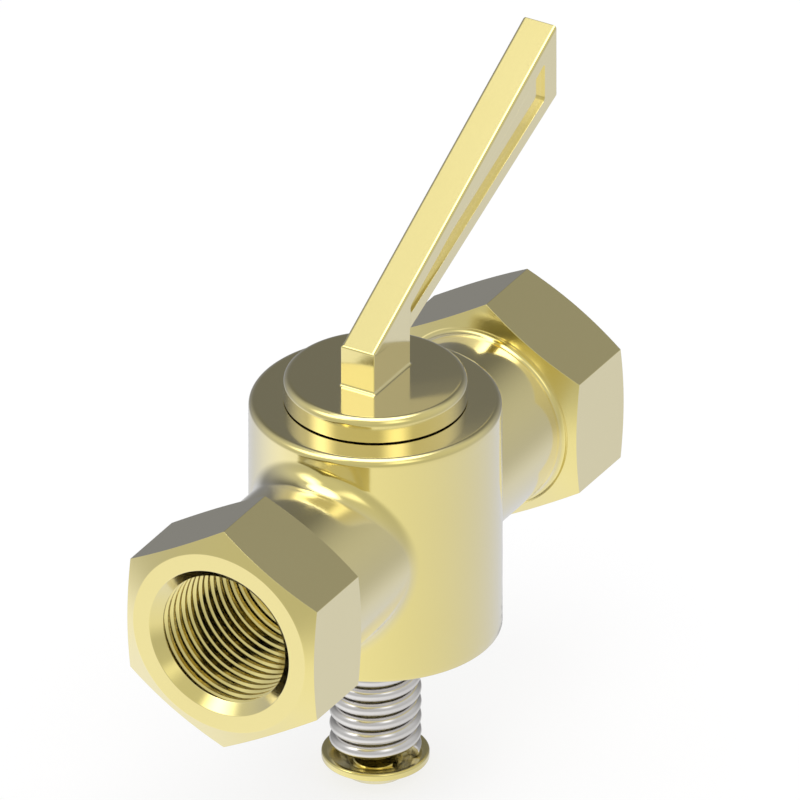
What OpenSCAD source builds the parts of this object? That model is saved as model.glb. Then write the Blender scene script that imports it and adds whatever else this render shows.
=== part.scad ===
// Spring-loaded plug valve with female pipe threads and a lever cast on the plug.
// The valve is open here: the lever lies along the pipe, and the plug's slot faces both ports.
// +X is the way of flow and +Z runs up the plug. The origin is on the pipe's axis, where the
// inlet's thread begins, at the inner edge of its lead-in.

/* [Pipe ends] */
// Length of the valve between its two end faces
valve_length = 101.6; // [98:0.1:125]
// Size of each hexagon across its flats
hex_flats = 35; // [33:0.1:40]
// Length of each hexagon along the pipe
hex_length = 16.4; // [12:0.1:20]
// How far inside the flats the hexagon's corner chamfer starts
chamfer_inset = 1.4; // [0.8:0.1:1.8]
// Angle between that chamfer and the end face
chamfer_angle = 20; // [12:1:30]
// Radius of the small fillet between hexagon and neck
neck_fillet = 0.85; // [0.4:0.05:1]
// Metal between the thread's roots and the outside of the neck
neck_wall = 2.9; // [2.5:0.05:3.2]

/* [Pipe thread] */
// Radius at the crests of the internal thread
crest_r = 11.45; // [10.5:0.05:11.8]
// Distance from one thread to the next
thread_pitch = 1.86; // [1.5:0.01:2.2]
// Depth of the thread's grooves
thread_depth = 0.8; // [0.5:0.05:0.9]
// Width of each groove at the crests
groove_mouth = 0.46; // [0.3:0.01:0.48]
// Length of the threaded bore behind its lead-in
thread_length = 25.8; // [20:0.1:26.4]
// How much wider than the crests the lead-in is at the end face
lead_in = 1.65; // [1:0.05:2]

/* [Barrel] */
// Outside radius of the upright barrel
barrel_r = 20.65; // [20:0.05:22]
// Height of the barrel's top above the pipe's axis
barrel_top = 20.6; // [20:0.1:24]
// Depth of the barrel's underside below the pipe's axis
barrel_bottom = 20.8; // [19:0.1:24]
// Radius of the barrel's rounded top edge
barrel_edge = 1.2; // [0.4:0.1:1.4]
// Radius of the soft blend where each neck grows out of the barrel
blend_r = 3.4; // [2.5:0.1:3.6]

/* [Plug] */
// Radius of the plug's taper level with the barrel's top
taper_r = 13; // [12:0.1:13.5]
// Angle of the taper on each side
taper_angle = 2.8; // [1.5:0.1:3.5]
// Running gap between plug and barrel
running_gap = 0.05; // [0.02:0.01:0.1]
// How far the taper ends above the barrel's underside, to let it wear in
wear_room = 0.8; // [0.4:0.1:1.5]
// Width of the slot that the fluid passes through
slot_w = 10; // [8:0.1:11]
// Height of that slot
slot_h = 17; // [14:0.1:18]
// Radius of the plug's round head
head_r = 15; // [14.5:0.05:17]
// Height of the head
head_h = 4.15; // [3:0.05:6]
// Gap under the head, so that the taper seats first
head_gap = 0.25; // [0.2:0.05:0.8]
// Radius of the head's rounded rim
head_edge = 1.25; // [0.6:0.05:1.5]
// Radius of the stem below the taper
stem_r = 3.7; // [3.2:0.05:4]

/* [Lever] */
// Thickness of the lever
lever_t = 6.25; // [5:0.05:8]
// Length of the lever's foot along the pipe
foot_l = 11.7; // [10:0.1:14]
// Height of the foot's front face above the head
foot_h = 7.4; // [6.6:0.1:10]
// Height of the throat under the lever, at the foot's back face
throat_h = 6.6; // [4.5:0.1:7.4]
// Distance from the plug's axis to the lever's tip
lever_reach = 53.5; // [45:0.1:65]
// Slope of the lever's top
top_angle = 28.5; // [26:0.5:35]
// Slope of the lever's underside
under_angle = 22.85; // [15:0.05:24]
// Radius of the rounded edges along the lever's top and over its front
lever_edge = 0.5; // [0.2:0.1:1.2]
// Depth of the pocket in each side
pocket_depth = 0.85; // [0.6:0.05:2.2]
// Upright height of the rim below the pocket
low_rim = 2.6; // [2:0.1:3.2]
// Upright height of the rim above the pocket
high_rim = 3.05; // [2:0.05:3.4]
// Length of the rim at the tip
tip_rim = 3.9; // [2.5:0.1:6]

/* [Thrust washer] */
// Radius of the washer under the barrel
washer_r = 14; // [12.5:0.1:14.5]
// Thickness of the washer
washer_t = 1.5; // [1:0.1:2]
// Size across the flats of the plug's square that turns the washer
key_flats = 9; // [8:0.1:9.2]
// Gap between the washer and what it lies on or turns with
washer_gap = 0.1; // [0.05:0.01:0.15]

/* [Spring] */
// Outside radius of the coil
coil_r = 7.5; // [7.2:0.05:7.6]
// Diameter of the wire
wire_d = 2.35; // [2:0.05:2.45]
// Distance from one turn to the next
coil_pitch = 2.7; // [2.6:0.05:3.4]
// Gap between the wire and what its two ends press on
wire_gap = 0.05; // [0.02:0.01:0.1]
// Bearing of the wire's lower end round the stem, counted from the way of flow
wire_end = -80; // [-180:5:180]

/* [Spring cup] */
// Distance from the barrel's underside to the rim of the cup
spring_room = 24.2; // [20:0.1:32]
// Outside radius of the cup
cup_r = 8.8; // [8.5:0.1:11]
// Thickness of the cup's rim
cup_rim = 1.4; // [1:0.1:1.8]
// Radius of the rim's rounded edges
cup_edge = 0.35; // [0.1:0.05:0.45]
// Radius of the mouth that the spring sits in
mouth_r = 7.95; // [7.8:0.05:8.1]
// Slope of the spring's seat inside the mouth
seat_angle = 19; // [12:1:24]
// Depth of the bowl below the rim
bowl_depth = 2; // [1.8:0.1:3]
// Radius of the bowl's floor
bowl_r = 4.4; // [4.1:0.05:4.6]
// Thickness of the floor
floor_t = 1.9; // [1.7:0.1:3]
// Radius of the underside of the cup's boss
boss_r = 5.1; // [4.8:0.1:6]

/* [Retaining screw] */
// Radius of the screw's shank
screw_r = 1.95; // [1.5:0.05:2.1]
// Radius of its countersunk head
screw_head_r = 3.3; // [3:0.05:3.4]
// How far the shank reaches into the stem
screw_grip = 7; // [4:0.1:9]
// Gap round the shank and under the head
screw_gap = 0.05; // [0.02:0.01:0.08]
// Width of the driver slot
driver_w = 0.8; // [0.5:0.1:1.2]
// Depth of the driver slot
driver_h = 0.6; // [0.4:0.1:0.8]

/* [Hidden] */
$fn = 96;

brass = [0.80, 0.71, 0.42];
bright_brass = [0.86, 0.76, 0.45];
steel = [0.72, 0.71, 0.73];

// Overlap of a cut past the face that it opens
past = 1;
half_length = valve_length / 2;
hex_corner_r = hex_flats / 2 / cos(30);
neck_r = crest_r + thread_depth + neck_wall;
port_end = half_length - lead_in - thread_length;
groove_count = floor((thread_length - thread_pitch / 2) / thread_pitch);

head_base = barrel_top + head_gap;
head_top = head_base + head_h;
taper_end = -barrel_bottom + wear_room;
function taper_at(z) = taper_r - (barrel_top - z) * tan(taper_angle);

lever_nose = -foot_l / 2;
lever_heel = foot_l / 2;
function top_z(x) = head_top + foot_h + (x - lever_nose) * tan(top_angle);
function under_z(x) = head_top + throat_h + (x - lever_heel) * tan(under_angle);

washer_top = -barrel_bottom - washer_gap;
washer_base = washer_top - washer_t;
cup_top = -barrel_bottom - spring_room;
bowl_floor = cup_top - bowl_depth;
cup_base = bowl_floor - floor_t;

wire_r = wire_d / 2;
coil_mean_r = coil_r - wire_r;
seat_z = cup_top - (mouth_r - coil_mean_r) * tan(seat_angle);
wire_low = seat_z + (wire_r + wire_gap) / cos(seat_angle);
wire_high = washer_base - wire_r - wire_gap;
coil_turns = (wire_high - wire_low) / coil_pitch;

// Moves what is drawn about the valve's centre to the inlet's thread
module from_centre() translate([half_length - lead_in, 0, 0]) children();

// Turns a shape that stands on its Z axis so that it lies along the pipe
module along_pipe() rotate([0, 90, 0]) children();

// A disc from its base up, with its top rim rounded
module rounded_disc(r, h, edge) {
    rotate_extrude() {
        square([r, h - edge]);
        square([r - edge, h]);
        translate([r - edge, h - edge]) intersection() {
            circle(edge);
            square(edge);
        }
    }
}

// An upright slot with round ends, which runs the given length along the pipe
module flow_slot(length) {
    round_up = (slot_h - slot_w) / 2;
    cube([length, slot_w, 2 * round_up], center = true);
    for (side = [-1, 1]) translate([0, 0, side * round_up])
        along_pipe() cylinder(r = slot_w / 2, h = length, center = true);
}

// One hexagon with both ends chamfered, its inner end at the origin
module hexagon() {
    rim_r = hex_flats / 2 - chamfer_inset;
    outer_r = hex_corner_r + past;
    drop = (outer_r - rim_r) * tan(chamfer_angle);
    intersection() {
        cylinder(r = hex_corner_r, h = hex_length, $fn = 6);
        rotate_extrude() polygon([
            [0, 0], [rim_r, 0], [outer_r, drop],
            [outer_r, hex_length - drop], [rim_r, hex_length], [0, hex_length]
        ]);
    }
}

// A neck from the barrel's axis out, with a small fillet against its hexagon
module neck() {
    reach = half_length - hex_length;
    rotate_extrude() {
        square([neck_r, reach + past]);
        difference() {
            translate([0, reach - neck_fillet]) square([neck_r + neck_fillet, neck_fillet + past / 2]);
            translate([neck_r + neck_fillet, reach - neck_fillet]) circle(neck_fillet);
        }
    }
}

// A four-cornered face as two triangles, because its corners needn't lie in one plane
function two_triangles(a, b, c, d) = [[a, b, c], [a, c, d]];

// The blend round one neck: the surface that a ball leaves when it is rolled along the corner
// between neck and barrel. Both edges of the ring run on a little way and sink into the metal.
module neck_blend() {
    rounds = 64;
    steps = 5;
    from_pipe_axis = neck_r + blend_r;
    from_plug_axis = barrel_r + blend_r;
    sink = blend_r / 30;
    run = blend_r / 5;

    function on_blend(a, share) = let (
        y = from_pipe_axis * cos(a), z = from_pipe_axis * sin(a),
        x = sqrt(from_plug_axis * from_plug_axis - y * y),
        to_neck = [0, -cos(a), -sin(a)], to_barrel = [-x, -y, 0] / from_plug_axis,
        swing = acos(to_neck * to_barrel),
        way = (to_neck * sin((1 - share) * swing) + to_barrel * sin(share * swing)) / sin(swing)
    ) [x, y, z] + blend_r * way;

    function neck_edge(a) = on_blend(a, 0) + [run, -sink * cos(a), -sink * sin(a)];

    function barrel_edge_point(a) = let (
        p = on_blend(a, 1), out = [p[0], p[1], 0] / barrel_r,
        away = [-out[1] * cos(a), out[0] * cos(a), sin(a)]
    ) p - sink * out + run * away / norm(away);

    function root(a) = let (y = (neck_r - past) * cos(a))
        [sqrt(barrel_r * barrel_r - y * y) - past, y, (neck_r - past) * sin(a)];

    function section(a) = concat(
        [neck_edge(a)], [for (k = [1 : steps - 1]) on_blend(a, k / steps)],
        [barrel_edge_point(a), root(a)]);

    count = steps + 2;
    points = [for (i = [0 : rounds - 1]) each section(360 * i / rounds)];
    faces = [
        for (i = [0 : rounds - 1], k = [0 : count - 1])
            let (j = (i + 1) % rounds, next = (k + 1) % count)
                each two_triangles(i * count + k, j * count + k, j * count + next, i * count + next)
    ];
    polyhedron(points = points, faces = faces, convexity = 6);
}

// The bore of one port, cut from inside out: threaded bore, thread grooves and lead-in
module port_cut() {
    mouth = half_length - lead_in;
    translate([0, 0, port_end]) cylinder(r = crest_r, h = thread_length + past);
    translate([0, 0, mouth])
        cylinder(r1 = crest_r, r2 = crest_r + lead_in + past, h = lead_in + past);
    for (i = [0 : groove_count - 1])
        translate([0, 0, mouth - (i + 0.75) * thread_pitch]) rotate_extrude() polygon([
            [crest_r - past, -groove_mouth / 2], [crest_r, -groove_mouth / 2],
            [crest_r + thread_depth, -groove_mouth / 6], [crest_r + thread_depth, groove_mouth / 6],
            [crest_r, groove_mouth / 2], [crest_r - past, groove_mouth / 2]
        ]);
}

// The tapered bore that the plug turns in
module plug_bore() {
    low = -barrel_bottom - past;
    high = barrel_top + past;
    translate([0, 0, low]) cylinder(
        r1 = taper_at(low) + running_gap, r2 = taper_at(high) + running_gap, h = high - low);
}

module valve_body() color(brass) from_centre() {
    difference() {
        union() {
            translate([0, 0, -barrel_bottom])
                rounded_disc(barrel_r, barrel_bottom + barrel_top, barrel_edge);
            for (side = [0, 180]) rotate([0, 0, side]) {
                neck_blend();
                along_pipe() neck();
                along_pipe() translate([0, 0, half_length - hex_length]) hexagon();
            }
        }
        plug_bore();
        flow_slot(2 * port_end + past);
        for (side = [0, 180]) rotate([0, 0, side]) along_pipe() port_cut();
    }
}

// The side view of the lever and its foot, rounded where its top meets its front
module lever_profile() {
    round_x = lever_nose + lever_edge;
    round_centre = [round_x, top_z(round_x) - lever_edge / cos(top_angle)];
    polygon([
        [lever_nose, head_top - past], [lever_nose, round_centre[1]],
        round_centre + lever_edge * [-sin(top_angle), cos(top_angle)],
        [lever_reach, top_z(lever_reach)], [lever_reach, under_z(lever_reach)],
        [lever_heel, under_z(lever_heel)], [lever_heel, head_top - past]
    ]);
    translate(round_centre) circle(lever_edge);
}

// What comes off the lever's square top edge on one side, to leave it rounded
module top_edge_cut(side) {
    length = lever_reach / cos(top_angle) + foot_l;
    translate([0, side * lever_t / 2, top_z(0)]) mirror([0, side < 0 ? 1 : 0, 0])
        rotate([0, 90 - top_angle, 0]) translate([0, 0, -foot_l]) linear_extrude(length + past)
            difference() {
                translate([-past, -lever_edge]) square(lever_edge + past);
                translate([lever_edge, -lever_edge]) circle(lever_edge);
            }
}

// The side view of the pocket in each side of the lever
module pocket_profile() {
    far = lever_reach - tip_rim;
    polygon([
        [lever_heel, under_z(lever_heel) + low_rim], [lever_heel, top_z(lever_heel) - high_rim],
        [far, top_z(far) - high_rim], [far, under_z(far) + low_rim]
    ]);
}

module lever() {
    web = lever_t - 2 * pocket_depth;
    difference() {
        rotate([90, 0, 0]) linear_extrude(lever_t, center = true) lever_profile();
        for (side = [-1, 1]) {
            translate([0, side * (web + lever_t) / 2, 0]) rotate([90, 0, 0])
                linear_extrude(lever_t, center = true) pocket_profile();
            top_edge_cut(side);
        }
    }
}

module plug() color(bright_brass) from_centre() {
    key_end = washer_base + washer_gap;
    difference() {
        union() {
            translate([0, 0, head_base]) rounded_disc(head_r, head_h, head_edge);
            translate([0, 0, taper_end]) cylinder(
                r1 = taper_at(taper_end), r2 = taper_at(head_base), h = head_base - taper_end);
            translate([0, 0, (key_end + taper_end) / 2])
                cube([key_flats, key_flats, taper_end - key_end], center = true);
            translate([0, 0, bowl_floor]) cylinder(r = stem_r, h = key_end - bowl_floor);
            lever();
        }
        flow_slot(2 * taper_r + past);
        translate([0, 0, bowl_floor - past])
            cylinder(r = screw_r + screw_gap, h = screw_grip + 2 * past);
    }
}

module thrust_washer() color(steel) from_centre() {
    hole = key_flats + 2 * washer_gap;
    translate([0, 0, washer_base]) difference() {
        cylinder(r = washer_r, h = washer_t);
        translate([-hole / 2, -hole / 2, -past]) cube([hole, hole, washer_t + 2 * past]);
    }
}

// One ring of points round the wire, at the given bearing and height of its centre
function wire_ring(bearing, z, sides) = [
    for (k = [0 : sides - 1]) let (a = 360 * k / sides, r = coil_mean_r + wire_r * cos(a))
        [r * cos(bearing), r * sin(bearing), z + wire_r * sin(a)]
];

module spring() color(steel) from_centre() {
    sides = 10;
    steps = ceil(coil_turns * 24);
    points = [
        for (i = [0 : steps]) let (part = i / steps)
            each wire_ring(
                wire_end + 360 * coil_turns * part, wire_low + (wire_high - wire_low) * part, sides)
    ];
    last = steps * sides;
    faces = [
        for (k = [1 : sides - 2]) each [[0, k, k + 1], [last, last + k + 1, last + k]],
        for (i = [0 : steps - 1], k = [0 : sides - 1])
            let (low = i * sides, high = low + sides, next = (k + 1) % sides)
                each two_triangles(low + k, high + k, high + next, low + next)
    ];
    polyhedron(points = points, faces = faces, convexity = 10);
}

// Half of the cup's solid shape, before its inside is cut: a rim on a boss that narrows down
module cup_outside() {
    rim_base = cup_top - cup_rim;
    for (z = [cup_top - cup_edge, rim_base + cup_edge])
        translate([cup_r - cup_edge, z]) circle(cup_edge);
    translate([0, rim_base]) square([cup_r - cup_edge, cup_rim]);
    translate([0, rim_base + cup_edge]) square([cup_r, cup_rim - 2 * cup_edge]);
    polygon([[0, cup_base], [boss_r, cup_base], [mouth_r - cup_rim / 2, rim_base], [0, rim_base]]);
}

// Half of the bowl inside the cup: a shallow cone that the spring sits on, over a deeper floor
module bowl_cut() {
    seat_end_r = coil_mean_r - wire_r / 2;
    seat_end_z = cup_top - (mouth_r - seat_end_r) * tan(seat_angle);
    polygon([
        [0, bowl_floor], [bowl_r, bowl_floor], [seat_end_r, seat_end_z],
        [mouth_r, cup_top], [mouth_r, cup_top + past], [0, cup_top + past]
    ]);
}

// Half of the countersunk screw's outline, grown by a gap
module screw_profile(gap, length) {
    neck_z = cup_base + screw_head_r - screw_r;
    polygon([
        [0, cup_base - gap], [screw_head_r + gap, cup_base - gap], [screw_head_r + gap, cup_base],
        [screw_r + gap, neck_z], [screw_r + gap, neck_z + length], [0, neck_z + length]
    ]);
}

module spring_cup() color(bright_brass) from_centre() {
    rotate_extrude() difference() {
        cup_outside();
        bowl_cut();
        screw_profile(screw_gap, floor_t + past);
    }
}

module retaining_screw() color(steel) from_centre() {
    shank_top = bowl_floor + screw_grip;
    screw_head_h = screw_head_r - screw_r;
    difference() {
        rotate_extrude() screw_profile(0, shank_top - cup_base - screw_head_h);
        translate([0, 0, cup_base + driver_h / 2 - past / 2])
            cube([2 * screw_head_r + past, driver_w, driver_h + past], center = true);
    }
}

valve_body();
plug();
thrust_washer();
spring();
spring_cup();
retaining_screw();
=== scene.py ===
import math

import bmesh
import bpy
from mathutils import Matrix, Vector


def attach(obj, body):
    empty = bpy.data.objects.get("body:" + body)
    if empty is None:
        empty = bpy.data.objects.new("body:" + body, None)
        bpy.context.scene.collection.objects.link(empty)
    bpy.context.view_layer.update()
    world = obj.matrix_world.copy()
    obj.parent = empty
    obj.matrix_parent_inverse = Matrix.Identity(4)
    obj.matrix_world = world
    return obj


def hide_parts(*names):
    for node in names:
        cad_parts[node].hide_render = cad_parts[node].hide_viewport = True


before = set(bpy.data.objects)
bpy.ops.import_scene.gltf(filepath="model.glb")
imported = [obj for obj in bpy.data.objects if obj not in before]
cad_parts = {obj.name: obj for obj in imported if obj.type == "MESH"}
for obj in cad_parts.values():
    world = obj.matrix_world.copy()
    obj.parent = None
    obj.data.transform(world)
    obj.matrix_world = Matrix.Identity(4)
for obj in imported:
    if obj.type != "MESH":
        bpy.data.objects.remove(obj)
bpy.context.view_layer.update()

# Shapes are written in millimetres about the valve's centre, where the pipe's axis and the
# plug's axis cross, and placePoint() moves them to the row frame in metres.
# The pipe runs along X and the plug stands along Z.
valveCentreX = 49.15


def placePoint(p):
    return Vector(((p[0] + valveCentreX) / 1000, p[1] / 1000, p[2] / 1000))


def sinDeg(a):
    return math.sin(math.radians(a))


def cosDeg(a):
    return math.cos(math.radians(a))


def tanDeg(a):
    return math.tan(math.radians(a))


def mix(a, b, share):
    return a + (b - a) * share


def smoothStep(low, high, x):
    t = min(1.0, max(0.0, (x - low) / (high - low)))
    return t * t * (3 - 2 * t)


# small mesh workshop

def newShape():
    return {"points": [], "faces": []}


def addRing(shape, ring):
    start = len(shape["points"])
    shape["points"].extend(ring)
    return list(range(start, start + len(ring)))


def joinRings(shape, a, b, closed=True):
    # quads between two rings with the same number of points
    last = len(a) if closed else len(a) - 1
    for i in range(last):
        j = (i + 1) % len(a)
        shape["faces"].append((a[i], a[j], b[j], b[i]))


def addRings(shape, rings, closed=True):
    # a whole skin from a list of rings, and the first and last ring's numbers
    numbers = [addRing(shape, ring) for ring in rings]
    for a, b in zip(numbers, numbers[1:]):
        joinRings(shape, a, b, closed)
    return numbers[0], numbers[-1]


def zipFlat(shape, a, b):
    # triangles between two rings round the Z axis that have different numbers of points
    def bearing(k):
        x, y = shape["points"][k][:2]
        return math.atan2(y, x)

    # past its last point a ring's next bearing is the turn's end, and then out of reach
    a = sorted(a, key=bearing)
    b = sorted(b, key=bearing)
    i = j = 0
    while i < len(a) or j < len(b):
        nextA = bearing(a[i + 1]) if i + 1 < len(a) else math.pi * (1 if i + 1 == len(a) else 3)
        nextB = bearing(b[j + 1]) if j + 1 < len(b) else math.pi * (1 if j + 1 == len(b) else 3)
        if j >= len(b) or (i < len(a) and nextA <= nextB):
            shape["faces"].append((a[i % len(a)], a[(i + 1) % len(a)], b[j % len(b)]))
            i += 1
        else:
            shape["faces"].append((a[i % len(a)], b[(j + 1) % len(b)], b[j % len(b)]))
            j += 1


# how close to an arc the flat beside it gets a point, which keeps smooth shading off the flat:
# in millimetres, and at most as a share of the flat
flatSupport = 0.06
shortFlat = 0.3


def roundProfile(corners):
    # corners: (u, v, radius, steps). Each one between the first and the last gets an arc.
    arcs = []
    for k, (u, v, radius, steps) in enumerate(corners):
        if radius == 0 or k in (0, len(corners) - 1):
            arcs.append([(u, v)])
            continue
        back = Vector((corners[k - 1][0] - u, corners[k - 1][1] - v)).normalized()
        ahead = Vector((corners[k + 1][0] - u, corners[k + 1][1] - v)).normalized()
        half = math.acos(max(-1.0, min(1.0, back.dot(ahead)))) / 2
        middle = Vector((u, v)) + (back + ahead).normalized() * (radius / math.sin(half))
        first = Vector((u, v)) + back * (radius / math.tan(half)) - middle
        last = Vector((u, v)) + ahead * (radius / math.tan(half)) - middle
        swing = math.acos(max(-1.0, min(1.0, first.dot(last) / radius ** 2)))
        arc = []
        for s in range(steps + 1):
            t = s / steps
            w = (first * math.sin((1 - t) * swing) + last * math.sin(t * swing)) / math.sin(swing)
            arc.append(tuple(middle + w))
        arcs.append(arc)
    out = list(arcs[0])
    for arc in arcs[1:]:
        a, b = Vector(out[-1]), Vector(arc[0])
        near = min(flatSupport, (b - a).length * shortFlat)
        step = (b - a).normalized() * near
        out += [tuple(a + step), tuple(b - step)]
        out += arc
    return out


def turnedRing(r, z, bearings):
    return [(r * cosDeg(a), r * sinDeg(a), z) for a in bearings]


def turnedShape(shape, profile, bearings):
    # a lathe-turned skin about the plug's axis from (radius, height) pairs
    return addRings(shape, [turnedRing(r, z, bearings) for r, z in profile])


sharpFrom = 32  # degrees between two faces
weldWithin = 1.5e-6  # metres, as the next
collapseBelow = 1e-7


def finishPiece(name, shape, body, material, nodes):
    # points that meet are joined here, and faces without any width go with them
    mesh = bpy.data.meshes.new(name)
    bm = bmesh.new()
    verts = [bm.verts.new(placePoint(p)) for p in shape["points"]]
    for face in shape["faces"]:
        bm.faces.new([verts[k] for k in face])
    bmesh.ops.remove_doubles(bm, verts=bm.verts, dist=weldWithin)
    bmesh.ops.dissolve_degenerate(bm, edges=bm.edges, dist=collapseBelow)
    bmesh.ops.recalc_face_normals(bm, faces=bm.faces)
    openEdges = sum(1 for e in bm.edges if not e.is_manifold)
    for f in bm.faces:
        f.smooth = True
    bm.to_mesh(mesh)
    bm.free()
    mesh.set_sharp_from_angle(angle=math.radians(sharpFrom))
    piece = bpy.data.objects.new(name, mesh)
    bpy.context.scene.collection.objects.link(piece)
    mesh.materials.append(material)
    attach(piece, body)
    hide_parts(*nodes)
    print(f"{name}: {len(mesh.vertices)} points, {len(mesh.polygons)} faces, {openEdges} open edges")


# finishes

def newGroup(name, inputs, outputs):
    group = bpy.data.node_groups.new(name, "ShaderNodeTree")
    for label, kind, value in inputs:
        socket = group.interface.new_socket(name=label, in_out="INPUT", socket_type=kind)
        socket.default_value = value
    for label, kind in outputs:
        group.interface.new_socket(name=label, in_out="OUTPUT", socket_type=kind)
    start = group.nodes.new("NodeGroupInput")
    end = group.nodes.new("NodeGroupOutput")
    start.location, end.location = (-900, 0), (500, 0)
    return group, start, end


def addNode(tree, kind, x, y, **settings):
    node = tree.nodes.new(kind)
    node.location = (x, y)
    for key, value in settings.items():
        setattr(node, key, value)
    return node


def mathNode(tree, operation, x, y, a, b, clamp=False):
    # a and b are each a plain number or another node's output
    node = addNode(tree, "ShaderNodeMath", x, y, operation=operation, use_clamp=clamp)
    for k, value in enumerate((a, b)):
        if isinstance(value, (int, float)):
            node.inputs[k].default_value = value
        else:
            tree.links.new(value, node.inputs[k])
    return node.outputs[0]


def buildMetalGrain():
    # the fine cloudy grain and the faint specks of polished metal, from the object's own place
    tree, start, end = newGroup(
        "metalGrain",
        [("Grain Size", "NodeSocketFloat", 900.0), ("Cloud Size", "NodeSocketFloat", 60.0)],
        [("Grain", "NodeSocketFloat"), ("Cloud", "NodeSocketFloat")])
    place = addNode(tree, "ShaderNodeTexCoord", -900, 250)
    for label, detail, y in (("Grain", 3.0, 100), ("Cloud", 2.0, -200)):
        noise = addNode(tree, "ShaderNodeTexNoise", -500, y)
        noise.inputs["Detail"].default_value = detail
        tree.links.new(place.outputs["Object"], noise.inputs["Vector"])
        tree.links.new(start.outputs[label + " Size"], noise.inputs["Scale"])
        tree.links.new(noise.outputs["Fac"], end.inputs[label])
    return tree


def buildPaintedEdgeSheen():
    # painted edge sheen: where the shading normal of a rounded edge turns from the face's own
    tree, start, end = newGroup(
        "paintedEdgeSheen",
        [("Width", "NodeSocketFloat", 0.0004), ("Amount", "NodeSocketFloat", 1.0)],
        [("Mask", "NodeSocketFloat")])
    rounded = addNode(tree, "ShaderNodeBevel", -600, 100, samples=4)
    tree.links.new(start.outputs["Width"], rounded.inputs["Radius"])
    own = addNode(tree, "ShaderNodeNewGeometry", -600, -150)
    dot = addNode(tree, "ShaderNodeVectorMath", -400, 0, operation="DOT_PRODUCT")
    tree.links.new(rounded.outputs["Normal"], dot.inputs[0])
    tree.links.new(own.outputs["Normal"], dot.inputs[1])
    away = mathNode(tree, "SUBTRACT", -200, 0, 1.0, dot.outputs["Value"], clamp=True)
    much = mathNode(tree, "MULTIPLY", 0, 0, away, start.outputs["Amount"], clamp=True)
    tree.links.new(much, end.inputs["Mask"])
    return tree


metalGrain = buildMetalGrain()
paintedEdgeSheen = buildPaintedEdgeSheen()


def polishedMetal(name, look):
    material = bpy.data.materials.new(name)
    material.use_nodes = True
    tree = material.node_tree
    tree.nodes.clear()
    out = addNode(tree, "ShaderNodeOutputMaterial", 700, 0)
    metal = addNode(tree, "ShaderNodeBsdfPrincipled", 400, 0)
    tree.links.new(metal.outputs[0], out.inputs[0])
    metal.inputs["Metallic"].default_value = 1.0
    grain = addNode(tree, "ShaderNodeGroup", -600, 100, node_tree=metalGrain)
    grain.inputs["Grain Size"].default_value = look["grainSize"]
    grain.inputs["Cloud Size"].default_value = look["cloudSize"]
    # painted sheen: a lighter edge colour is laid along rounded edges
    edgeSheen = addNode(tree, "ShaderNodeGroup", -600, -250, node_tree=paintedEdgeSheen)
    edgeSheen.inputs["Width"].default_value = look["edgeSheenWidth"]
    edgeSheen.inputs["Amount"].default_value = look["edgeSheenAmount"]
    tone = addNode(tree, "ShaderNodeMix", -300, 200, data_type="RGBA")
    tone.inputs["A"].default_value = (*look["colour"], 1)
    tone.inputs["B"].default_value = (*look["toneColour"], 1)
    cloud = addNode(tree, "ShaderNodeMapRange", -450, 350)
    cloud.inputs["From Min"].default_value = look["cloudRange"][0]
    cloud.inputs["From Max"].default_value = look["cloudRange"][1]
    tree.links.new(grain.outputs["Cloud"], cloud.inputs["Value"])
    tree.links.new(cloud.outputs["Result"], tone.inputs["Factor"])
    bright = addNode(tree, "ShaderNodeMix", 0, 200, data_type="RGBA")
    bright.inputs["B"].default_value = (*look["edgeSheenColour"], 1)
    tree.links.new(tone.outputs["Result"], bright.inputs["A"])
    tree.links.new(edgeSheen.outputs["Mask"], bright.inputs["Factor"])
    # the gloss of polished brass turns pale where it is seen at a slant
    slant = addNode(tree, "ShaderNodeLayerWeight", -100, 450)
    slant.inputs["Blend"].default_value = look["slantBlend"]
    share = mathNode(tree, "POWER", 50, 450, slant.outputs["Facing"], look["slantPower"])
    share = mathNode(tree, "MULTIPLY", 120, 450, share, look["slantAmount"], clamp=True)
    # and so does metal that is seen in other metal
    path = addNode(tree, "ShaderNodeLightPath", -100, 750)
    again = mathNode(tree, "MULTIPLY", 50, 650, path.outputs["Is Glossy Ray"], look["mirroredPaleness"])
    share = mathNode(tree, "ADD", 120, 600, share, again, clamp=True)
    pale = addNode(tree, "ShaderNodeMix", 200, 250, data_type="RGBA")
    pale.inputs["B"].default_value = (*look["slantColour"], 1)
    tree.links.new(bright.outputs["Result"], pale.inputs["A"])
    tree.links.new(share, pale.inputs["Factor"])
    tree.links.new(pale.outputs["Result"], metal.inputs["Base Color"])
    rough = addNode(tree, "ShaderNodeMapRange", 0, -100)
    rough.inputs["From Min"].default_value = look["grainRange"][0]
    rough.inputs["From Max"].default_value = look["grainRange"][1]
    rough.inputs["To Min"].default_value = look["roughLow"]
    rough.inputs["To Max"].default_value = look["roughHigh"]
    tree.links.new(grain.outputs["Grain"], rough.inputs["Value"])
    tree.links.new(rough.outputs["Result"], metal.inputs["Roughness"])
    bump = addNode(tree, "ShaderNodeBump", 150, -300)
    bump.inputs["Strength"].default_value = look["grainStrength"]
    bump.inputs["Distance"].default_value = look["grainHeight"]
    tree.links.new(grain.outputs["Grain"], bump.inputs["Height"])
    tree.links.new(bump.outputs["Normal"], metal.inputs["Normal"])
    return material


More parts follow.
